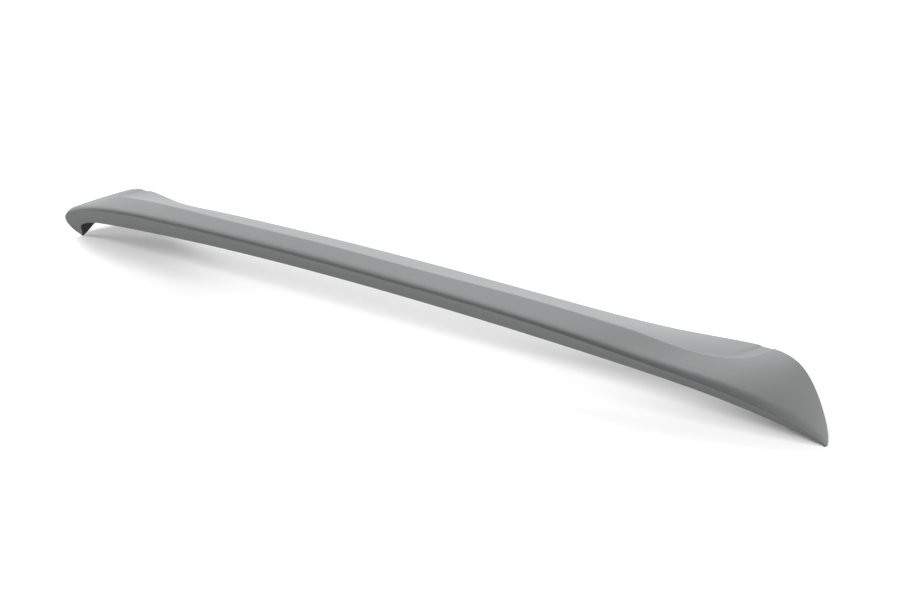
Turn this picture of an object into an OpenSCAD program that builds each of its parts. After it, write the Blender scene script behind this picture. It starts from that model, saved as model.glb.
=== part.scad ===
// Boot-lid spoiler: one thin moulded shell, open underneath, bowed to the rear in the
// middle, with two wide ends that wrap forward and down to a point.
// Axes: X runs across the car, +Y to the front of the car, +Z up. Units are millimetres.
// The origin is under the middle of the part, level with the two pointed tips.

/* [Overall] */
// Width over the two tips
span = 1300; // [1000:10:1600]
// Height of the front edge in the middle, above the tips
crown = 119; // [80:1:170]
// How far the trailing lip stands behind the front edge, in the middle
chord = 96; // [70:1:140]

/* [Section] */
// Thickness of the moulded wall
wall = 3; // [2:0.1:5]
// Depth of the step that runs round the flat front land
land_step = 2; // [0.5:0.1:4]
// Width of the sloping side of that step
step_width = 4; // [2:0.5:12]
// Length of the soft rounding above the lip, in the middle
lip_round = 16; // [6:0.5:24]
// Height of the upright band under the lip, at the ends
band = 9; // [5:0.5:16]

/* [Inside] */
// How much of the hollow a cross rib fills
rib_depth = 0.6; // [0.2:0.05:1]
// Thickness of a cross rib
rib_wall = 2.4; // [1.5:0.1:4]
// Outer diameter of a screw boss
boss_d = 13; // [9:0.5:18]
// Diameter of the pilot bore for a 4.8 mm self-tapping screw
pilot_d = 4; // [3:0.1:6]
// Depth of the pilot bore
pilot_depth = 14; // [6:0.5:18]

/* [Hidden] */
primer = [0.62, 0.63, 0.64];

// The sizes that the guide lines below were drawn at.
wide = span / 1300;
high = crown / 119;
deep = chord / 96;

// Guide lines of the right half: points that a smooth curve runs near, from the
// mirror plane out to the tip, with the front edge in the middle as Y = -62.
lip_line = [
  [0, -159, 126], [150, -158, 124], [300, -157, 121], [430, -148, 111],
  [539, -97, 79], [616, -60, 51], [655, -13, 12], [650, -1, 2]
];
hem_line = [
  [0, -123, 94], [150, -121, 92], [300, -107, 82], [431, -94, 71],
  [540, -77, 58], [618, -30, 24], [648, -3, 3], [649, -2, 0]
];
crest_line = [
  [0, -126, 135], [150, -125, 132], [300, -119, 130], [430, -100, 119],
  [536, -45, 89], [608, -13, 63], [642, -6, 25], [652, 0, 3]
];
front_line = [
  [0, -63, 120], [150, -61, 118], [300, -52, 112], [435, 9, 84],
  [543, 48, 82], [603, 33, 76], [643, 17, 14], [650, 3, 0]
];

// Small tools for points and curves.
function unit(v) = v / norm(v);
function mix(a, b, k) = a + (b - a) * k;
function clamp(x) = min(max(x, 0), 1);
function ease(a, b, x) = let (u = clamp((x - a) / (b - a))) u * u * (3 - 2 * u);
function bend(a, b, c, u) = a * (1 - u) * (1 - u) + b * 2 * u * (1 - u) + c * u * u;
function mirrored(p) = [-p[0], p[1], p[2]];
function sized(p) = [p[0] * wide, (p[1] + 62) * deep, p[2] * high];

// A uniform cubic curve near the points of a guide line, t = 0 in the mirror plane.
function blend(a, b, c, d, u) =
  (a * pow(1 - u, 3) + b * (3 * pow(u, 3) - 6 * u * u + 4)
   + c * (3 * u + 3 * u * u - 3 * pow(u, 3) + 1) + d * pow(u, 3)) / 6;
function guide(line, t) =
  let (
    tip = line[7],
    q = concat([mirrored(line[1])], line, [tip, tip]),
    k = min(floor(t), 7)
  )
  sized(blend(q[k], q[k + 1], q[k + 2], q[k + 3], t - k));

// Where the land starts to turn forward, where it meets the front edge, and the end.
land_turn = 3.1;
land_end = 4.22;
last = 7.6;
land_rows = 2;
face_rows = 5;
round_rows = 5;

// One cross section of the shell: the outer skin from the front edge over the top to
// the hem under the lip, then the inner skin back to the front edge.
function section(t, fill) =
  let (
    lip = guide(lip_line, t),
    hem = guide(hem_line, t),
    crest = guide(crest_line, t),
    front = guide(front_line, t),
    run = unit(guide(lip_line, t + 0.05) - guide(lip_line, max(t - 0.05, 0))),
    small = min(1, norm(crest - hem) / 34),
    rise = unit((crest - hem) - run * ((crest - hem) * run)),
    out = ease(2, 4.2, t),
    upper = lip + rise * mix(2.5, band * 0.62, out) * small,
    lower = lip - rise * band * 0.38 * small,
    soft = mix(lip_round, 7, out) * small,
    drop = 4.5 * small,
    inset = front + unit(crest - front) * max(1, 2.5 * small),
    turn = 1 - pow(1 - pow(clamp((t - land_turn) / (land_end - land_turn)), 3), 1 / 3),
    step = land_step * ease(2, land_turn, t) * (1 - pow(turn, 4)),
    edge = mix(crest, inset, turn),
    ridge = mix(edge, mix(inset, upper, 0.5), turn),
    lift = unit(cross(run, edge - upper)),
    tug = mix(edge, upper, 0.5) + lift * mix(1.2, 3, turn) * small,
    to = 1 - soft / (2 * norm(upper - tug)),
    foot = edge + unit(front - edge) * min(step_width, 0.6 * norm(front - edge)) - [0, 0, step],
    over = bend(edge, tug, upper, to),
    under = upper - rise * drop,
    tuck = unit(hem - lower),
    land = [for (j = [0 : land_rows + 1]) mix(front, foot, j / (land_rows + 1))],
    face = [for (j = [0 : face_rows]) bend(edge, tug, upper, to * j / face_rows)],
    bull = [for (j = [1 : round_rows]) bend(over, upper, under, j / round_rows)],
    back = [lower + rise * 1.2 * small, lower + tuck * 1.2 * small,
            mix(lower, hem, 0.36), mix(lower, hem, 0.68), hem],
    inner = inner_skin(front, ridge, upper, lower, hem, step),
    shut = max(fill, ease(5.6, 6.4, t)),
    n = len(inner)
  )
  concat(land, face, bull, back,
    [for (j = [0 : n - 1]) mix(inner[j], mix(hem, front, (j + 1) / (n + 1)), shut)]);

// The inner skin: the outer corners moved in by the wall, square to both sides.
function inner_skin(front, crest, upper, lower, hem, step) =
  let (
    side = unit(cross(upper - front, hem - upper)),
    c = [front, crest, upper, lower, hem],
    w = [wall + step, wall + step, wall, wall, wall],
    m = [for (i = [0 : 3]) unit(cross(side, c[i + 1] - c[i]))],
    f = c[0] + m[0] * w[0],
    k = c[1] + (m[0] + m[1]) * w[1] / (1 + m[0] * m[1]),
    u = c[2] + (m[1] + m[2]) * w[2] / (1 + m[1] * m[2]),
    l = c[3] + (m[2] + m[3]) * w[3] / (1 + m[2] * m[3]),
    h = c[4] + m[3] * w[4]
  )
  [h, mix(h, l, 0.5), l, u, mix(u, k, 0.33), mix(u, k, 0.67), k, mix(k, f, 0.5), f];

// Stations along the part. A rib takes the place of one of them with four, so that
// the hollow is filled over the thickness of the rib and open again beyond it.
ribs = [8, 16, 24];
half_rib = rib_wall / 2 / (145 * wide);
draft = 0.6 / (145 * wide);
along = concat(
  [for (i = [0 : 28]) i / 8],
  [for (i = [1 : 14]) 3.5 + i / 14],
  [for (i = [1 : 18]) 4.5 + (last - 4.5) * i / 18]
);
stations = [for (i = [0 : len(along) - 1]) each (
  len(search(i, ribs)) == 0 ? [[along[i], 0]] :
    [[along[i] - half_rib - draft, 0], [along[i] - half_rib, rib_depth],
     [along[i] + half_rib, rib_depth], [along[i] + half_rib + draft, 0]]
)];
right = [for (s = stations) section(s[0], s[1])];
rings = concat(
  [for (i = [len(right) - 1 : -1 : 1]) [for (p = right[i]) mirrored(p)]],
  right
);
m = len(rings);
n = len(rings[0]);

// The middle of a ring, where the small flat ends of the part are closed.
function middle(r) = [for (k = [0 : 2]) mix(min([for (p = r) p[k]]), max([for (p = r) p[k]]), 0.5)];
cloud = concat([for (r = rings) each r], [middle(rings[0]), middle(rings[m - 1])]);
// The part is set down with its tips at Z = 0 and its depth centred on Y = 0.
low = min([for (p = cloud) p[2]]);
mid = (min([for (p = cloud) p[1]]) + max([for (p = cloud) p[1]])) / 2;

// Screw bosses stand at two of the ribs on each side, between front edge and hem.
// Each runs up into the wall above it and is cut off along the slope of that wall.
boss_at = [1, 3];
function boss_foot(t) =
  let (
    front = guide(front_line, t),
    hem = guide(hem_line, t),
    y = mix(front[1], hem[1], 0.45),
    back = y - boss_d / 2,
    slope = (front[2] - hem[2]) / (front[1] - hem[1])
  )
  [front[0], y, hem[2] + (back - hem[1]) * slope];

// Height of the outer skin at Y = y, in the section at t.
function roof(t, y) =
  let (s = section(t, 0))
  lookup(y, [for (j = [0 : land_rows + face_rows + 1]) [s[j][1], s[j][2]]]);

module skin() {
  quads = [for (i = [0 : m - 2]) for (j = [0 : n - 1])
    let (k = (j + 1) % n, a = i * n + j, b = i * n + k, c = (i + 1) * n + k, d = (i + 1) * n + j)
    each (i < (m - 1) / 2 ? [[a, d, b], [b, d, c]] : [[a, c, b], [a, d, c]])];
  heel = [for (j = [0 : n - 1]) [m * n, j, (j + 1) % n]];
  toe = [for (j = [0 : n - 1]) [m * n + 1, (m - 1) * n + (j + 1) % n, (m - 1) * n + j]];
  polyhedron(points = cloud, faces = concat(quads, heel, toe), convexity = 8);
}

// Puts its children at the foot of the boss at t, on both halves of the part.
module at_foot(t) {
  foot = boss_foot(t);
  for (x = [-foot[0], foot[0]]) {
    translate([x, foot[1], foot[2]]) {
      children();
    }
  }
}

module boss(t) {
  foot = boss_foot(t);
  y = foot[1];
  slope = (roof(t, y + boss_d / 2) - roof(t, y - boss_d / 2)) / boss_d;
  top = roof(t, y) - foot[2] - wall * 0.6;
  intersection() {
    cylinder(d = boss_d, h = top + boss_d, $fn = 48);
    translate([0, 0, top]) {
      rotate([atan(slope), 0, 0]) {
        translate([-boss_d, -2 * boss_d, -4 * boss_d]) {
          cube([2 * boss_d, 4 * boss_d, 4 * boss_d]);
        }
      }
    }
  }
}

module pilot_bore() {
  translate([0, 0, -1]) {
    cylinder(d = pilot_d, h = pilot_depth + 1, $fn = 48);
  }
}

module spoiler_shell() {
  color(primer) {
    translate([0, -mid, -low]) {
      difference() {
        union() {
          skin();
          for (t = boss_at) {
            at_foot(t) {
              boss(t);
            }
          }
        }
        for (t = boss_at) {
          at_foot(t) {
            pilot_bore();
          }
        }
      }
    }
  }
}

union() {
  spoiler_shell();
}
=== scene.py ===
"""Looks of a boot-lid spoiler: one thin moulded shell in grey primer, bare and black inside.

The shell is lofted through the four guide lines of the construction model. One class holds
its shape, and others build the shell, its screw bosses, the finishes, the lamps and the studio.
"""

import logging
import math
from dataclasses import dataclass, field
from enum import Enum

import bmesh
import bpy
from mathutils import Matrix, Vector


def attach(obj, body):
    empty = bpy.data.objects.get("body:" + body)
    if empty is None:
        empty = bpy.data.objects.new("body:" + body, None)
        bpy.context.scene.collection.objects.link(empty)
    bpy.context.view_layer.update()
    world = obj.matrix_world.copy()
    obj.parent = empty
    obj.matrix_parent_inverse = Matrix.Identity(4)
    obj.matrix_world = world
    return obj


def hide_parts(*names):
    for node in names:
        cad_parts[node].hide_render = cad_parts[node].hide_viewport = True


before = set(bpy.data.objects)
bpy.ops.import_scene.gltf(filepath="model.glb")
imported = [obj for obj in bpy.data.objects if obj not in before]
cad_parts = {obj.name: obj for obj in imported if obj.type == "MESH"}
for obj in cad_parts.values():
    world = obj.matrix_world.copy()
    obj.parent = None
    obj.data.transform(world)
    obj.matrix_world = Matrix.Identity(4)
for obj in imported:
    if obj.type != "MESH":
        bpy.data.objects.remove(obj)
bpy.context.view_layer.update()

log = logging.getLogger("spoiler")
MM = 0.001

# How the rows of a section are spread over its stretches, as shares of each one's length.
LAND_ROWS = (0, 0.3, 0.6, 0.85, 0.94)
HEM_ROWS = (0.12, 0.3, 0.5, 0.7, 0.88, 1)
INNER_HEM_ROWS = (0.35, 0.7)
INNER_FACE_ROWS = (0.15, 0.33, 0.5, 0.67, 0.85)
INNER_LAND_ROWS = (0.25, 0.5, 0.75)

# How many steps the evenly spaced stretches have.
STEP_ROWS = 6
BROW_ROWS = 7
FACE_ROWS = 10
ROLL_ROWS = 8
HEEL_ROWS = 3


class Slot(Enum):
    """Places in the shell's list of materials."""

    PRIMER = 0
    BARE = 1


def mix(a: Vector, b: Vector, k: float) -> Vector:
    """Return the point that lies the share k of the way from a to b."""
    return a + (b - a) * k


def blend(pair: tuple[float, float], k: float) -> float:
    """Return the value that lies the share k of the way through a pair."""
    return pair[0] + (pair[1] - pair[0]) * k


def ramp(low: float, high: float, x: float) -> float:
    """Return 0 below low, 1 above high, and a smooth rise between them."""
    u = min(max((x - low) / (high - low), 0.0), 1.0)
    return u * u * (3 - 2 * u)


def arch(a: Vector, b: Vector, c: Vector, d: Vector, u: float) -> Vector:
    """Return a point on the cubic curve from a to d that is pulled towards b and c."""
    v = 1 - u
    return a * v**3 + b * 3 * v * v * u + c * 3 * v * u * u + d * u**3


def corner(x: float) -> float:
    """Return how far a line has turned aside, 0 up to x = 0 and 1, upright, from x = 1."""
    x = min(max(x, 0.0), 1.0)
    return 1 - (1 - x**3) ** (1 / 3)


def spaced(low: float, high: float, density: int) -> list[float]:
    """Return evenly spaced places from low up to, but not with, high."""
    return [low + i / density for i in range(round((high - low) * density))]


@dataclass(frozen=True)
class Curve:
    """A quadratic curve.

    Attributes:
        start: Where it starts.
        pull: The point that it is pulled towards.
        end: Where it ends.
    """

    start: Vector
    pull: Vector
    end: Vector

    @classmethod
    def bowed(cls, start: Vector, end: Vector, run: Vector, lift: float) -> "Curve":
        """Draw a curve that stands out from the straight line between its ends.

        Args:
            start: Where it starts.
            end: Where it ends.
            run: Direction along the part.
            lift: How far its control point stands out.

        Returns:
            The curve.
        """
        away = run.cross(start - end).normalized()
        return cls(start, mix(start, end, 0.5) + away * lift, end)

    def at(self, u: float) -> Vector:
        """Return the point at the share u of the curve."""
        return self.start * (1 - u) ** 2 + self.pull * 2 * u * (1 - u) + self.end * u * u

    def after(self, u: float) -> "Curve":
        """Return the rest of the curve from u on, or more than the curve for a u below 0."""
        return Curve(self.at(u), mix(self.pull, self.end, u), self.end)


@dataclass(frozen=True)
class GuideLine:
    """A line along the right half of the part, from the mirror plane to the tip.

    Attributes:
        points: Points in millimetres that the smooth line runs near.
    """

    points: tuple[tuple[float, float, float], ...]

    def at(self, t: float) -> Vector:
        """Find a point on the uniform cubic curve along the guide.

        Args:
            t: The place along the line, 0 in the mirror plane and about 8 at the tip.

        Returns:
            The point, in millimetres, in the frame that the guides were drawn in.
        """
        first = self.points[1]
        tip = self.points[-1]
        held = [(-first[0], first[1], first[2]), *self.points, tip, tip]
        k = min(int(t), len(self.points) - 1)
        u = t - k
        weights = (
            (1 - u) ** 3,
            3 * u**3 - 6 * u * u + 4,
            1 + 3 * u + 3 * u * u - 3 * u**3,
            u**3,
        )
        total = Vector((0, 0, 0))
        for point, weight in zip(held[k : k + 4], weights):
            total += Vector(point) * (weight / 6)
        return total


@dataclass(frozen=True)
class Cut:
    """One cut across the part: its place, its directions, its size and its corners.

    Attributes:
        t: The place along the guide lines.
        run: Direction along the part.
        rise: Direction from the hem to the crest, square to run.
        small: Size of the section, 1 in the middle and less towards the tip.
        turn: How far the land's border has turned to the front, 0 to 1.
        front: Corner at the front edge.
        inset: Where the main face ends beyond the land, just behind the front edge.
        crest: Point on the crest line.
        upper: Corner above the lip.
        lower: Corner under the lip.
        hem: Corner at the hem.
    """

    t: float
    run: Vector
    rise: Vector
    small: float
    turn: float
    front: Vector
    inset: Vector
    crest: Vector
    upper: Vector
    lower: Vector
    hem: Vector


@dataclass(frozen=True)
class Section:
    """One cross section of the shell.

    Attributes:
        ring: The closed loop of points, from the front edge over the top to the hem
            under the lip, and back along the inner skin.
        outer: How many of the points lie on the outer skin.
    """

    ring: list[Vector]
    outer: int


@dataclass
class ShellForm:
    """The shape of the shell, in millimetres.

    A pair holds two sizes, in the middle of the part and at its ends, or the two places
    along the guide lines between which something changes.

    Attributes:
        wall: Thickness of the moulded wall.
        full_height: Distance from hem to crest, below which a section shrinks.
        heading: Distance along the guide lines over which their direction is taken.
        lip_above: Height of the corner above the lip.
        lip_below: Depth of the corner under the lip.
        lip_round: Length of the soft rounding above the lip.
        lip_change: Places between which those three change.
        roll: Share of the lip's height that the rounding rolls down.
        heel_round: Length of the rounding at the corner under the lip.
        sag: How far the control point of the lower face lies inside it.
        face_lift: How far the control point of the main face stands out of it.
        land_turn: Place where the land's border starts to turn to the front.
        land_end: Place where it meets the front edge.
        step_depth: Depth of the step round the flat front land.
        step_start: Place where the step starts to deepen.
        step_fade: Places between which it loses the first half of its depth.
        step_width: Width of the step's sloping side.
        step_share: The most of the land's width that the sloping side takes.
        step_reach: What it takes of that width where the land ends.
        step_run: Width of the step where the land ends, along the guide lines.
        step_lean: How far the sloping side bends from a straight line to an ogee.
        brow_round: Length of the rounding at the top of the step.
        brow_start: Place where that rounding starts to widen.
        brow_share: The most of the main face that it takes.
        front_dip: Places between which the front edge sinks to the depth of the step.
        front_inset: Distance from the front edge to the main face, beyond the land.
        least_inset: The least that this distance shrinks to.
        hollow_end: Places between which the hollow closes.
        shift: From the frame of the guides to the frame of the part.
        lip: Guide line along the trailing lip.
        hem: Guide line along the lower edge.
        crest: Guide line along the crest.
        front: Guide line along the front edge.
    """

    wall: float = 3.0
    full_height: float = 34.0
    heading: float = 0.05
    lip_above: tuple[float, float] = (1.3, 5.58)
    lip_below: tuple[float, float] = (3.24, 2.34)
    lip_round: tuple[float, float] = (9.0, 8.0)
    lip_change: tuple[float, float] = (3.2, 4.5)
    roll: float = 0.82
    heel_round: float = 1.2
    sag: float = 2.6
    face_lift: tuple[float, float] = (0.3, 3.0)
    land_turn: float = 3.1
    land_end: float = 4.22
    step_depth: float = 2.0
    step_start: float = 2.0
    step_fade: tuple[float, float] = (3.9, 4.15)
    step_width: float = 4.0
    step_share: float = 0.6
    step_reach: float = 0.97
    step_run: float = 0.045
    step_lean: float = 0.3
    brow_round: tuple[float, float] = (1.5, 5.5)
    brow_start: float = 2.4
    brow_share: float = 0.5
    front_dip: tuple[float, float] = (3.97, 4.05)
    front_inset: float = 2.5
    least_inset: float = 1.0
    hollow_end: tuple[float, float] = (5.6, 6.4)
    shift: Vector = field(default_factory=lambda: Vector((0, 58.986, -0.032)))
    lip: GuideLine = GuideLine((
        (0, -159, 126), (150, -158, 124), (300, -157, 121), (430, -148, 111),
        (539, -97, 79), (616, -60, 51), (655, -13, 12), (650, -1, 2),
    ))
    hem: GuideLine = GuideLine((
        (0, -123, 94), (150, -121, 92), (300, -107, 82), (431, -94, 71),
        (540, -77, 58), (618, -30, 24), (648, -3, 3), (649, -2, 0),
    ))
    crest: GuideLine = GuideLine((
        (0, -126, 135), (150, -125, 132), (300, -119, 130), (430, -100, 119),
        (536, -45, 89), (608, -13, 63), (642, -6, 25), (652, 0, 3),
    ))
    front: GuideLine = GuideLine((
        (0, -63, 120), (150, -61, 118), (300, -52, 112), (435, 9, 84),
        (543, 48, 82), (603, 33, 76), (643, 17, 14), (650, 3, 0),
    ))

    def section(self, t: float, fill: float = 0.0) -> Section:
        """Work out the cross section at one place along the part.

        Args:
            t: The place along the guide lines.
            fill: How much of the hollow is filled, for a cross rib.

        Returns:
            The section, in millimetres, in the frame of the part.
        """
        cut = self.cut(t)
        step = self.step(t)
        face = self.face(cut)
        stop = 1 - self.lip_length(cut) / (2 * (face.end - face.pull).length)
        outer = self.top_rows(cut, face, step, stop) + self.lip_rows(cut, face.at(stop))
        inner = self.close_rows(cut, self.inner_rows(cut, step), fill)
        return Section([p + self.shift for p in outer + inner], len(outer))

    def cut(self, t: float) -> Cut:
        """Find the directions, the size and the corners of the section at one place.

        Args:
            t: The place along the guide lines.

        Returns:
            The cut, in the frame of the guides.
        """
        lip, hem, crest, front = (g.at(t) for g in (self.lip, self.hem, self.crest, self.front))
        behind = self.lip.at(max(t - self.heading, 0))
        run = (self.lip.at(t + self.heading) - behind).normalized()
        rise = (crest - hem - run * (crest - hem).dot(run)).normalized()
        small = min(1.0, (crest - hem).length / self.full_height)
        change = ramp(*self.lip_change, t)
        inset = max(self.least_inset, self.front_inset * small)
        return Cut(
            t=t,
            run=run,
            rise=rise,
            small=small,
            turn=corner((t - self.land_turn) / (self.land_end - self.land_turn)),
            front=front,
            inset=front + (crest - front).normalized() * inset,
            crest=crest,
            upper=lip + rise * (blend(self.lip_above, change) * small),
            lower=lip - rise * (blend(self.lip_below, change) * small),
            hem=hem,
        )

    def lip_length(self, cut: Cut) -> float:
        """Return the length of the soft rounding above the lip."""
        return blend(self.lip_round, ramp(*self.lip_change, cut.t)) * cut.small

    def step(self, t: float) -> float:
        """Work out how deep the step round the land is at one place.

        Args:
            t: The place along the guide lines.

        Returns:
            The depth in millimetres, which halves as the border nears the front edge and
            runs out where it meets it.
        """
        depth = self.step_depth * ramp(self.step_start, self.land_turn, t)
        nearing = ramp(*self.step_fade, t)
        meeting = ramp(self.land_end - self.step_run, self.land_end, t)
        return depth * (1 - (nearing + meeting) / 2)

    def face(self, cut: Cut) -> Curve:
        """Draw the main face, from the land's border to the corner above the lip.

        The curve from the crest is drawn on beyond it, and turns little by little into the
        curve from the front edge, so that the face stays fair where the land ends.

        Args:
            cut: The cut to draw it in.

        Returns:
            The curve of the face.
        """
        middle, end = self.face_lift
        face = (cut.upper - cut.crest).length
        land = (cut.inset - cut.crest).length
        narrow = Curve.bowed(cut.crest, cut.upper, cut.run, middle * cut.small).after(-land / face)
        full = Curve.bowed(cut.inset, cut.upper, cut.run, end * cut.small)
        wide = ramp(self.land_turn, self.land_end, cut.t)
        whole = Curve(
            mix(narrow.start, full.start, wide), mix(narrow.pull, full.pull, wide), cut.upper
        )
        return whole.after(land / (land + face) * (1 - cut.turn))

    def top_rows(self, cut: Cut, face: Curve, step: float, stop: float) -> list[Vector]:
        """Place the rows of the land, of the step that borders it and of the main face.

        Args:
            cut: The cut that they lie in.
            face: The curve of the main face.
            step: Depth of the step.
            stop: Share of the face's curve at which the rounding above the lip starts.

        Returns:
            The points, from the front edge to that rounding.
        """
        edge = face.start
        gap = (cut.front - edge).length
        width = min(self.step_width, self.step_share * gap)
        ahead = corner((cut.t - self.land_turn) / (self.land_end - self.land_turn - self.step_run))
        aside = (ahead - cut.turn) / (1 - cut.turn) if cut.turn < 1 else 1.0
        reach = blend((width, self.step_reach * gap), aside)
        widening = ramp(self.brow_start, self.land_turn, cut.t)
        brow = blend(self.brow_round, widening) * cut.small * reach / width
        brow = min(self.brow_share, brow / (cut.upper - edge).length)
        sunk = cut.front - Vector((0, 0, step * ramp(*self.front_dip, cut.t)))
        foot = mix(edge, cut.front, reach / gap) - Vector((0, 0, step))
        side, above = self.ogee(foot, edge, 0.5), mix(edge, face.pull, brow)
        rows = [mix(sunk, foot, k) for k in LAND_ROWS]
        rows += [self.ogee(foot, edge, k / STEP_ROWS) for k in range(STEP_ROWS // 2 + 1)]
        rows += [
            arch(side, edge, above, face.at(brow), k / BROW_ROWS) for k in range(1, BROW_ROWS)
        ]
        rows += [face.at(brow + (stop - brow) * k / FACE_ROWS) for k in range(FACE_ROWS + 1)]
        return rows

    def ogee(self, foot: Vector, edge: Vector, k: float) -> Vector:
        """Return the point at the share k of the step's side, a slope with soft ends."""
        lean = (k * k * (3 - 2 * k) - k) * self.step_lean
        return mix(foot, edge, k) + Vector((0, 0, (edge.z - foot.z) * lean))

    def lip_rows(self, cut: Cut, over: Vector) -> list[Vector]:
        """Roll the skin over the lip, and draw the face under it down to the hem.

        Args:
            cut: The cut that the rows lie in.
            over: Where the rounding above the lip starts.

        Returns:
            The points, from there to the hem.
        """
        under = cut.upper - cut.rise * (self.roll * (cut.upper - cut.lower).length)
        roll = Curve(over, cut.upper, under)
        soft = self.heel_round * cut.small
        toe = cut.lower + (cut.hem - cut.lower).normalized() * soft
        heel = Curve(cut.lower + cut.rise * soft, cut.lower, toe)
        hollow = Curve.bowed(toe, cut.hem, cut.run, -self.sag * cut.small)
        rows = [roll.at(k / ROLL_ROWS) for k in range(1, ROLL_ROWS + 1)]
        rows += [mix(under, heel.start, 0.5)]
        rows += [heel.at(k / HEEL_ROWS) for k in range(HEEL_ROWS + 1)]
        rows += [hollow.at(k) for k in HEM_ROWS]
        return rows

    def inner_rows(self, cut: Cut, step: float) -> list[Vector]:
        """Move the outer corners in by the wall and fill in the rows between them.

        Args:
            cut: The cut with the outer corners.
            step: Depth of the land's step here.

        Returns:
            The rows of the inner skin, from the hem to the front edge.
        """
        far = mix(cut.inset, cut.upper, 0.5)
        ridge = mix(mix(cut.crest, cut.inset, cut.turn), far, cut.turn)
        corners = [cut.front, ridge, cut.upper, cut.lower, cut.hem]
        depth = [self.wall + step] * 2 + [self.wall] * 3
        side = (cut.upper - cut.front).cross(cut.hem - cut.upper).normalized()
        normals = [side.cross(b - a).normalized() for a, b in zip(corners, corners[1:])]
        moved = [corners[0] + normals[0] * depth[0]]
        for i in range(1, len(normals)):
            a, b = normals[i - 1], normals[i]
            moved.append(corners[i] + (a + b) * (depth[i] / (1 + a.dot(b))))
        moved.append(corners[-1] + normals[-1] * depth[-1])
        front, top, upper, lower, hem = moved
        rows = [hem] + [mix(hem, lower, k) for k in INNER_HEM_ROWS]
        rows += [lower, mix(lower, upper, 0.5), upper]
        rows += [mix(upper, top, k) for k in INNER_FACE_ROWS] + [top]
        rows += [mix(top, front, k) for k in INNER_LAND_ROWS] + [front]
        return rows

    def close_rows(self, cut: Cut, rows: list[Vector], fill: float) -> list[Vector]:
        """Draw the inner skin down for a rib, and shut the hollow before the tip.

        Args:
            cut: The cut that the rows lie in.
            rows: The rows of the inner skin, from the hem to the front edge.
            fill: How much of the hollow is filled.

        Returns:
            The rows, drawn in.
        """
        last = len(rows) - 1
        shut = ramp(*self.hollow_end, cut.t)
        ribbed = [mix(p, mix(rows[0], rows[-1], i / last), fill) for i, p in enumerate(rows)]
        mouth = [mix(cut.hem, cut.front, (i + 1) / (last + 2)) for i in range(last + 1)]
        return [mix(p, m, shut) for p, m in zip(ribbed, mouth)]


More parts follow.
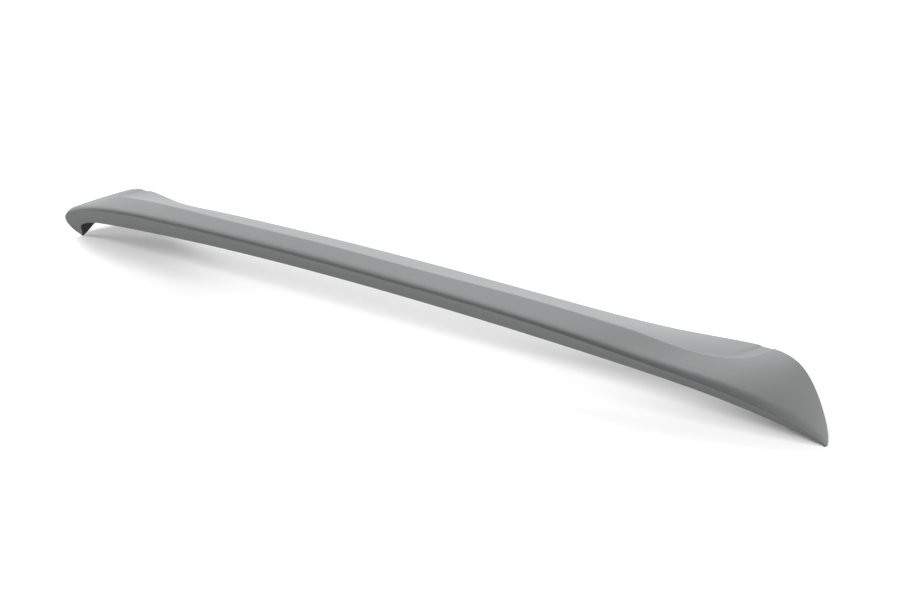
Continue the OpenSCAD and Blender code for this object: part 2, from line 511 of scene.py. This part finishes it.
@dataclass
class SpoilerShell:
    """The moulded shell, built as one half and mirrored.

    Attributes:
        form: The shape that the sections come from.
        ribs: Places of the cross ribs along the guide lines.
        rib_wall: Thickness of a rib in millimetres.
        rib_flank: Width of its sloping flanks in millimetres.
        rib_depth: Share of the hollow that a rib fills.
        pitch: Length of the part from one place to the next, in millimetres.
        close: Places between which the sections stand closest, round the land's end.
        tip: Place of the last section.
        per_place: Sections from one place to the next, before, between and after those.
        turning: More places, where the land's border turns up to the front edge.
        hard_angle: Angle above which an edge is shaded hard, in degrees.
        same: Distance in metres below which two points are one.
    """

    form: ShellForm
    ribs: tuple[float, ...] = (1, 2, 3)
    rib_wall: float = 2.4
    rib_flank: float = 0.6
    rib_depth: float = 0.6
    pitch: float = 145.0
    close: tuple[float, float] = (3.5, 4.5)
    tip: float = 7.6
    per_place: tuple[int, int, int] = (16, 50, 20)
    turning: tuple[float, ...] = (4.21, 4.217, 4.2196)
    hard_angle: float = 38.0
    same: float = 1e-5

    def stations(self) -> list[tuple[float, float]]:
        """List the places of the sections, each with the fill that a rib needs there.

        Returns:
            Pairs of place and fill, from the mirror plane to the tip.
        """
        middle, round_land, outside = self.per_place
        near, far = self.close
        plain = spaced(0, near, middle)
        plain += sorted([*spaced(near, far, round_land), *self.turning])
        plain += [*spaced(far, self.tip, outside), self.tip]
        half = self.rib_wall / 2 / self.pitch
        flank = self.rib_flank / self.pitch
        places: list[tuple[float, float]] = []
        for t in plain:
            if any(math.isclose(rib, t) for rib in self.ribs):
                places += [(t - half - flank, 0), (t - half, self.rib_depth)]
                places += [(t + half, self.rib_depth), (t + half + flank, 0)]
            else:
                places.append((t, 0))
        return places

    def loft(self, bm: bmesh.types.BMesh) -> None:
        """Draw the first section, then extrude it from station to station.

        Args:
            bm: The mesh to build in, in metres.
        """
        places = self.stations()
        first = self.form.section(*places[0])
        loop = [bm.verts.new(p * MM) for p in first.ring]
        edges = [bm.edges.new((a, b)) for a, b in zip(loop, loop[1:] + loop[:1])]
        for t, fill in places[1:]:
            made = bmesh.ops.extrude_edge_only(bm, edges=edges)["geom"]
            fresh = {v for v in made if isinstance(v, bmesh.types.BMVert)}
            lines = [e for e in made if isinstance(e, bmesh.types.BMEdge)]
            edges = [e for e in lines if set(e.verts) <= fresh]
            loop = [self.partner(vert, fresh) for vert in loop]
            for vert, point in zip(loop, self.form.section(t, fill).ring):
                vert.co = point * MM
        cap = bmesh.ops.contextual_create(bm, geom=edges)["faces"]
        bmesh.ops.poke(bm, faces=cap)

    @staticmethod
    def partner(vert: bmesh.types.BMVert, fresh: set[bmesh.types.BMVert]) -> bmesh.types.BMVert:
        """Return the fresh vertex that was extruded from the given one."""
        others = (edge.other_vert(vert) for edge in vert.link_edges)
        return next(other for other in others if other in fresh)

    def paint(self, bm: bmesh.types.BMesh, outer: int, count: int) -> None:
        """Give the faces of the inner skin the bare plastic.

        Args:
            bm: The lofted mesh, with its vertices in rings of count.
            outer: How many points of a ring lie on the outer skin.
            count: How many points a ring has.
        """
        bm.verts.index_update()
        for face in bm.faces:
            inside = all(v.index % count >= outer for v in face.verts)
            face.material_index = Slot.BARE.value if inside else Slot.PRIMER.value

    def close_middle(self, bm: bmesh.types.BMesh) -> None:
        """Remove the faces that the mirror left standing in the mirror plane."""
        flat = [f for f in bm.faces if all(abs(v.co.x) < self.same for v in f.verts)]
        bmesh.ops.delete(bm, geom=flat, context="FACES_ONLY")

    def shade(self, bm: bmesh.types.BMesh) -> None:
        """Shade the skin smoothly, apart from its hard edges.

        Args:
            bm: The whole shell.
        """
        for face in bm.faces:
            face.smooth = True
        for edge in bm.edges:
            if len(edge.link_faces) == 2:
                edge.smooth = edge.calc_face_angle(0) <= math.radians(self.hard_angle)

    def build(self, materials: list[bpy.types.Material]) -> bpy.types.Object:
        """Build the shell as one closed mesh.

        Args:
            materials: The finishes, in the order of Slot.

        Returns:
            The finished object, at the origin.
        """
        bm = bmesh.new()
        self.loft(bm)
        sample = self.form.section(0)
        self.paint(bm, sample.outer, len(sample.ring))
        half = bm.verts[:] + bm.edges[:] + bm.faces[:]
        bmesh.ops.mirror(bm, geom=half, axis="X", merge_dist=self.same)
        self.close_middle(bm)
        bmesh.ops.recalc_face_normals(bm, faces=bm.faces)
        self.shade(bm)
        mesh = bpy.data.meshes.new("spoiler_shell_skin")
        bm.to_mesh(mesh)
        bm.free()
        shell = bpy.data.objects.new("spoiler_skin", mesh)
        bpy.context.scene.collection.objects.link(shell)
        for material in materials:
            mesh.materials.append(material)
        shell.modifiers.new("even_shading", "WEIGHTED_NORMAL").keep_sharp = True
        return shell


@dataclass
class ScrewBosses:
    """Four round bosses inside the hollow, each with a pilot bore from below.

    Attributes:
        form: The shape of the shell that they stand in.
        places: Places along the guide lines.
        seat: Share of the way from the front edge to the hem, at which they stand.
        outer: Outer radius in millimetres.
        bore: Radius of the pilot bore.
        depth: Depth of the pilot bore.
        roof: Height of the solid part above the bore, up into the wall of the shell.
        edge_round: Width of the bevel along the edges.
        edge_angle: Angle above which an edge has that bevel, in degrees.
        sides: How many flat sides stand for the round.
    """

    form: ShellForm
    places: tuple[float, ...] = (1.0, 3.0)
    seat: float = 0.45
    outer: float = 6.5
    bore: float = 2.0
    depth: float = 14.0
    roof: float = 5.0
    edge_round: float = 0.35
    edge_angle: float = 40.0
    sides: int = 48

    def foot(self, t: float) -> Vector:
        """Find the middle of a boss's lower end.

        Args:
            t: The place along the guide lines.

        Returns:
            The point in millimetres, in the frame of the part.
        """
        front = self.form.front.at(t)
        hem = self.form.hem.at(t)
        y = front.y + (hem.y - front.y) * self.seat
        slope = (front.z - hem.z) / (front.y - hem.y)
        return Vector((front.x, y, hem.z + (y - self.outer - hem.y) * slope)) + self.form.shift

    def add_boss(self, bm: bmesh.types.BMesh, foot: Vector) -> None:
        """Add one boss: a cylinder whose lower face is inset and pushed up as a bore.

        Args:
            bm: The mesh to build in, in metres.
            foot: The middle of its lower end, in millimetres.
        """
        height = self.depth + self.roof
        made = bmesh.ops.create_cone(
            bm,
            cap_ends=True,
            segments=self.sides,
            radius1=self.outer * MM,
            radius2=self.outer * MM,
            depth=height * MM,
            matrix=Matrix.Translation((foot + Vector((0, 0, height / 2))) * MM),
        )["verts"]
        ends = {f for v in made for f in v.link_faces if len(f.verts) == self.sides}
        base = min(ends, key=lambda f: f.calc_center_median().z)
        bmesh.ops.inset_region(bm, faces=[base], thickness=(self.outer - self.bore) * MM)
        pushed = bmesh.ops.extrude_face_region(bm, geom=[base])["geom"]
        bmesh.ops.delete(bm, geom=[base], context="FACES_ONLY")
        rim = [v for v in pushed if isinstance(v, bmesh.types.BMVert)]
        bmesh.ops.translate(bm, verts=rim, vec=Vector((0, 0, self.depth * MM)))

    def build(self, material: bpy.types.Material) -> bpy.types.Object:
        """Build all the bosses as one object.

        Args:
            material: The bare plastic.

        Returns:
            The finished object, at the origin.
        """
        bm = bmesh.new()
        for t in self.places:
            foot = self.foot(t)
            self.add_boss(bm, foot)
            self.add_boss(bm, Vector((-foot.x, foot.y, foot.z)))
        sharp = [e for e in bm.edges if e.calc_face_angle(0) > math.radians(self.edge_angle)]
        bmesh.ops.bevel(
            bm,
            geom=sharp,
            offset=self.edge_round * MM,
            affect="EDGES",
            segments=2,
            profile=0.5,
            material=-1,
        )
        bmesh.ops.recalc_face_normals(bm, faces=bm.faces)
        for face in bm.faces:
            face.smooth = len(face.verts) < self.sides
        mesh = bpy.data.meshes.new("screw_bosses_mesh")
        bm.to_mesh(mesh)
        bm.free()
        bosses = bpy.data.objects.new("screw_bosses", mesh)
        bpy.context.scene.collection.objects.link(bosses)
        mesh.materials.append(material)
        return bosses


@dataclass(frozen=True)
class Mottle:
    """A shared node group: soft cloudy variation with a fine grain on top.

    Attributes:
        name: Name of the group.
        cloud: Scale of the soft variation, per metre, until a finish sets its own.
        grain: Scale of the fine grain, likewise.
        share: How much of the tone comes from the grain, likewise.
        cloud_detail: How many finer layers the variation has.
        grain_detail: How many finer layers the grain has.
    """

    name: str = "soft_mottle"
    cloud: float = 9.0
    grain: float = 700.0
    share: float = 0.35
    cloud_detail: float = 4.0
    grain_detail: float = 3.0

    def group(self) -> bpy.types.NodeTree:
        """Build the group once.

        Returns:
            A group with the inputs Cloud, Grain and Grain Share, and the outputs Tone
            and Height.
        """
        if self.name in bpy.data.node_groups:
            return bpy.data.node_groups[self.name]
        tree = bpy.data.node_groups.new(self.name, "ShaderNodeTree")
        inputs = (("Cloud", self.cloud), ("Grain", self.grain), ("Grain Share", self.share))
        for label, value in inputs:
            socket = tree.interface.new_socket(label, in_out="INPUT", socket_type="NodeSocketFloat")
            socket.default_value = value
        for label in ("Tone", "Height"):
            tree.interface.new_socket(label, in_out="OUTPUT", socket_type="NodeSocketFloat")
        nodes, links = tree.nodes, tree.links
        take, give = nodes.new("NodeGroupInput"), nodes.new("NodeGroupOutput")
        place = nodes.new("ShaderNodeTexCoord")
        cloud, grain = nodes.new("ShaderNodeTexNoise"), nodes.new("ShaderNodeTexNoise")
        cloud.inputs["Detail"].default_value = self.cloud_detail
        grain.inputs["Detail"].default_value = self.grain_detail
        join = nodes.new("ShaderNodeMix")
        for noise, label in ((cloud, "Cloud"), (grain, "Grain")):
            links.new(place.outputs["Object"], noise.inputs["Vector"])
            links.new(take.outputs[label], noise.inputs["Scale"])
        links.new(take.outputs["Grain Share"], join.inputs["Factor"])
        links.new(cloud.outputs["Fac"], join.inputs["A"])
        links.new(grain.outputs["Fac"], join.inputs["B"])
        links.new(join.outputs["Result"], give.inputs["Tone"])
        links.new(grain.outputs["Fac"], give.inputs["Height"])
        return tree


@dataclass(frozen=True)
class Finish:
    """A plain painted or moulded finish.

    Attributes:
        name: Name of the material.
        dark: Colour where the mottle is low, linear.
        light: Colour where the mottle is high.
        roughness: Lowest and highest roughness.
        cloud: Scale of the soft variation, per metre.
        grain: Scale of the fine grain, per metre.
        share: How much of the tone comes from the grain.
        relief: Height of the fine relief in millimetres.
        gloss: Strength of the surface's own reflection, 0.5 for plain plastic.
        tones: Tones of the mottle that give the dark and the light end.
        bump: Strength of the relief.
    """

    name: str
    dark: tuple[float, float, float]
    light: tuple[float, float, float]
    roughness: tuple[float, float]
    cloud: float
    grain: float
    share: float
    relief: float
    gloss: float = 0.5
    tones: tuple[float, float] = (0.3, 0.7)
    bump: float = 0.4

    def make(self) -> bpy.types.Material:
        """Build the material.

        Returns:
            The new material.
        """
        material = bpy.data.materials.new(self.name)
        material.use_nodes = True
        nodes, links = material.node_tree.nodes, material.node_tree.links
        shader = nodes["Principled BSDF"]
        shader.inputs["Specular IOR Level"].default_value = self.gloss
        mottle = nodes.new("ShaderNodeGroup")
        mottle.node_tree = Mottle().group()
        mottle.inputs["Cloud"].default_value = self.cloud
        mottle.inputs["Grain"].default_value = self.grain
        mottle.inputs["Grain Share"].default_value = self.share
        tone = nodes.new("ShaderNodeValToRGB")
        ends = tone.color_ramp.elements
        ends[0].position, ends[1].position = self.tones
        ends[0].color, ends[1].color = (*self.dark, 1), (*self.light, 1)
        rough = nodes.new("ShaderNodeMapRange")
        rough.inputs["From Min"].default_value = self.tones[0]
        rough.inputs["From Max"].default_value = self.tones[1]
        rough.inputs["To Min"].default_value = self.roughness[0]
        rough.inputs["To Max"].default_value = self.roughness[1]
        bump = nodes.new("ShaderNodeBump")
        bump.inputs["Strength"].default_value = self.bump
        bump.inputs["Distance"].default_value = self.relief * MM
        links.new(mottle.outputs["Tone"], tone.inputs["Fac"])
        links.new(tone.outputs["Color"], shader.inputs["Base Color"])
        links.new(mottle.outputs["Tone"], rough.inputs["Value"])
        links.new(rough.outputs["Result"], shader.inputs["Roughness"])
        links.new(mottle.outputs["Height"], bump.inputs["Height"])
        links.new(bump.outputs["Normal"], shader.inputs["Normal"])
        return material


@dataclass(frozen=True)
class Lamp:
    """A broad soft lamp that lights only what it is given.

    Attributes:
        name: Name of the lamp.
        toward: Direction from the part to the lamp.
        energy: Strength of the lamp.
        spread: How wide the lamp looks from the part, in degrees.
    """

    name: str
    toward: tuple[float, float, float]
    energy: float
    spread: float

    def hang(self, lit: list[bpy.types.Object]) -> None:
        """Add the lamp to the scene.

        Args:
            lit: The objects that it lights.
        """
        data = bpy.data.lights.new(self.name, "SUN")
        data.energy = self.energy
        data.angle = math.radians(self.spread)
        lamp = bpy.data.objects.new(self.name, data)
        lamp.rotation_euler = Vector(self.toward).to_track_quat("Z", "Y").to_euler()
        bpy.context.scene.collection.objects.link(lamp)
        receivers = bpy.data.collections.new(f"{self.name}_lights")
        for thing in lit:
            receivers.objects.link(thing)
        lamp.light_linking.receiver_collection = receivers


@dataclass
class Studio:
    """A white floor, soft light and the photograph's point of view.

    Attributes:
        camera_at: Place of the camera, in metres.
        right: Direction to the right of the picture.
        up: Direction to the top of the picture.
        focal_pixels: Focal length, in pixels of the photograph.
        picture_width: Width of the photograph in pixels.
        sensor: Width of the camera's sensor in millimetres.
        floor_half: Half the width of the floor, in metres.
        floor_shown: Level of the floor where it is seen.
        floor_given: Level of the floor as a reflector under the part.
        sky_shown: Level of the sky where it is seen.
        sky_given: Level of the sky as a light on the part.
        part_lamps: The lamps that light the part.
        floor_lamps: The lamps that light the floor and draw the shadow.
    """

    camera_at: Vector = field(default_factory=lambda: Vector((1.71614, -1.70762, 0.78785)))
    right: Vector = field(default_factory=lambda: Vector((0.740879, 0.671638, 0.0)))
    up: Vector = field(default_factory=lambda: Vector((-0.199085, 0.219609, 0.955059)))
    focal_pixels: float = 2000.0
    picture_width: float = 920.0
    sensor: float = 36.0
    floor_half: float = 12.0
    floor_shown: float = 0.97
    floor_given: float = 0.28
    sky_shown: float = 1.0
    sky_given: float = 0.15
    part_lamps: tuple[Lamp, ...] = (
        Lamp("soft_window", (-0.45, 0.71, 0.53), 2.2, 45),
        Lamp("right_fill", (0.8, 0.6, 0.4), 1.0, 45),
        Lamp("left_fill", (-1, 0.08, 0.55), 1.25, 24),
    )
    floor_lamps: tuple[Lamp, ...] = (
        Lamp("floor_key", (0.373, -0.8, 0.469), 3.35, 12),
        Lamp("floor_side", (0.65, -0.545, 0.53), 2.2, 18),
        Lamp("floor_top", (-0.5, 0, 1), 1.35, 60),
    )

    def camera(self) -> None:
        """Place the camera as the photograph's was."""
        data = bpy.data.cameras.new("camera")
        data.sensor_width = self.sensor
        data.lens = self.focal_pixels / self.picture_width * self.sensor
        camera = bpy.data.objects.new("camera", data)
        back = self.right.cross(self.up)
        turn = Matrix((self.right, self.up, back)).transposed().to_4x4()
        camera.matrix_world = Matrix.Translation(self.camera_at) @ turn
        bpy.context.scene.collection.objects.link(camera)
        bpy.context.scene.camera = camera

    def floor(self) -> bpy.types.Object:
        """Lay a floor that is white to the camera and a mid grey to the part.

        Returns:
            The floor.
        """
        bm = bmesh.new()
        bmesh.ops.create_grid(bm, x_segments=1, y_segments=1, size=self.floor_half)
        mesh = bpy.data.meshes.new("floor")
        bm.to_mesh(mesh)
        bm.free()
        floor = bpy.data.objects.new("floor", mesh)
        bpy.context.scene.collection.objects.link(floor)
        material = bpy.data.materials.new("white_paper")
        material.use_nodes = True
        nodes, links = material.node_tree.nodes, material.node_tree.links
        shader = nodes["Principled BSDF"]
        shader.inputs["Roughness"].default_value = 1.0
        shader.inputs["Specular IOR Level"].default_value = 0.0
        shade = nodes.new("ShaderNodeMix")
        shade.data_type = "RGBA"
        shade.inputs["A"].default_value = (*[self.floor_given] * 3, 1)
        shade.inputs["B"].default_value = (*[self.floor_shown] * 3, 1)
        links.new(self.seen(material.node_tree), shade.inputs["Factor"])
        links.new(shade.outputs["Result"], shader.inputs["Base Color"])
        mesh.materials.append(material)
        return floor

    @staticmethod
    def seen(tree: bpy.types.NodeTree) -> bpy.types.NodeSocket:
        """Tell rays that show a surface from those that only light one.

        Args:
            tree: The nodes of the floor or of the world.

        Returns:
            A value of 1 for camera, glossy and transmission rays, and 0 for the rest.
        """
        path = tree.nodes.new("ShaderNodeLightPath")
        total = path.outputs["Is Camera Ray"]
        for name in ("Is Glossy Ray", "Is Transmission Ray"):
            either = tree.nodes.new("ShaderNodeMath")
            either.operation = "MAXIMUM"
            tree.links.new(total, either.inputs[0])
            tree.links.new(path.outputs[name], either.inputs[1])
            total = either.outputs["Value"]
        return total

    def sky(self) -> None:
        """Fill in from all round, and show white to the camera."""
        world = bpy.data.worlds.new("studio")
        bpy.context.scene.world = world
        world.use_nodes = True
        nodes, links = world.node_tree.nodes, world.node_tree.links
        sky = nodes["Background"]
        level = nodes.new("ShaderNodeMapRange")
        level.inputs["To Min"].default_value = self.sky_given
        level.inputs["To Max"].default_value = self.sky_shown
        links.new(self.seen(world.node_tree), level.inputs["Value"])
        links.new(level.outputs["Result"], sky.inputs["Strength"])
        sky.inputs["Color"].default_value = (1, 1, 1, 1)

    def build(self, pieces: list[bpy.types.Object]) -> None:
        """Set up camera, floor and light, and the plain view transform.

        Args:
            pieces: The objects that the part is made of.
        """
        self.camera()
        floor = self.floor()
        for lamp in self.part_lamps:
            lamp.hang(pieces)
        for lamp in self.floor_lamps:
            lamp.hang([floor])
        self.sky()
        bpy.context.scene.view_settings.view_transform = "Standard"


PRIMER = Finish(
    name="grey_primer",
    dark=(0.40, 0.405, 0.41),
    light=(0.46, 0.465, 0.47),
    roughness=(0.72, 0.84),
    cloud=9.0,
    grain=900.0,
    share=0.4,
    relief=0.05,
    gloss=0.1,
)
BARE = Finish(
    name="bare_black_plastic",
    dark=(0.012, 0.012, 0.013),
    light=(0.022, 0.022, 0.024),
    roughness=(0.42, 0.62),
    cloud=14.0,
    grain=1400.0,
    share=0.6,
    relief=0.06,
)


def main() -> None:
    """Build the part, put it on its body and set up the studio."""
    logging.basicConfig(level=logging.INFO)
    form = ShellForm()
    primer, bare = PRIMER.make(), BARE.make()
    shell = SpoilerShell(form).build([primer, bare])
    bosses = ScrewBosses(form).build(bare)
    for piece in (shell, bosses):
        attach(piece, "root")
        log.info("%s: %d faces", piece.name, len(piece.data.polygons))
    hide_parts("spoiler_shell")
    Studio().build([shell, bosses])


if __name__ == "__main__":
    main()
